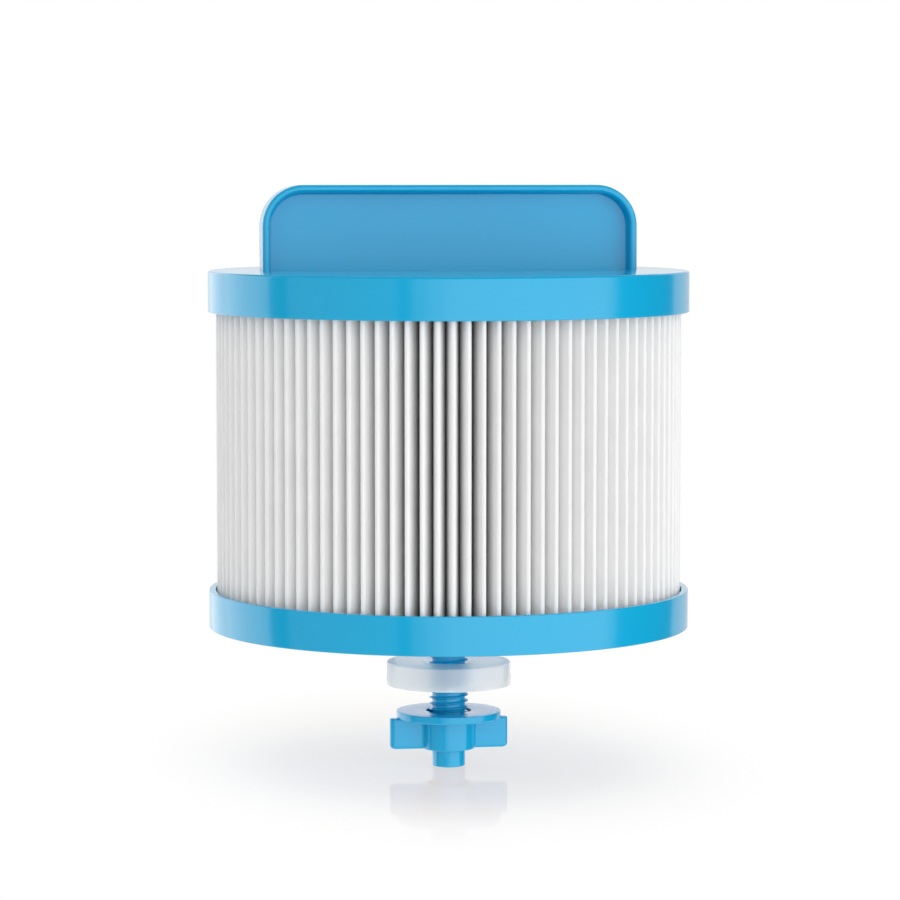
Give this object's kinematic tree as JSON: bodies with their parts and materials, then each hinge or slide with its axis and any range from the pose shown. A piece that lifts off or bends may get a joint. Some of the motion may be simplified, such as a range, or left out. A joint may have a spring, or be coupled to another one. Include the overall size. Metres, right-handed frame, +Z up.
{
  "type": "gravity water filter element",
  "caption": "Pleated ring filter between two moulded end caps, with a carrying tab on top and a hollow threaded stem below that holds a seal washer, a flat washer and a wing nut.",
  "frame": {"origin": "on the stem's axis, where the stem leaves the underside of the bottom cap", "axes": "+Z up along the stem's axis towards the carrying tab, X along the tab and the nut's wings, -Y towards the picture's camera"},
  "size_m": [0.122, 0.122, 0.1484],
  "materials": {
    "blue_plastic": "glossy moulded blue",
    "filter_media": "matt white non-woven",
    "white_plastic": "matt white",
    "sealing_compound": "matt off-white",
    "silicone": "translucent milky silicone"
  },
  "bodies": {
    "element": {"top_cap": "blue_plastic", "bottom_cap": "blue_plastic", "pleated_media": "filter_media", "core_tube": "white_plastic", "top_potting": "sealing_compound", "bottom_potting": "sealing_compound"},
    "clamp_washer": {"clamp_washer": "blue_plastic"},
    "wing_nut": {"wing_nut": "blue_plastic"},
    "seal_washer": {"seal_washer": "silicone"}
  },
  "joints": [
    {"name": "nut_travel", "type": "slide", "parent": "element", "child": "clamp_washer", "axis": [0, 0, 1], "range_m": [-0.00601, 0.00901]},
    {"name": "nut_turn", "type": "hinge", "parent": "clamp_washer", "child": "wing_nut", "pos_m": [0, 0, -0.024], "axis": [0, 0, 1], "range_deg": [-1440, 2160]},
    {"name": "washer_slide", "type": "slide", "parent": "clamp_washer", "child": "seal_washer", "axis": [0, 0, 1], "range_m": [-0.0064, 0]}
  ],
  "couplings": [
    {"joint": "nut_travel", "follows": "nut_turn", "m_per_rad": 0.00023873}
  ]
}
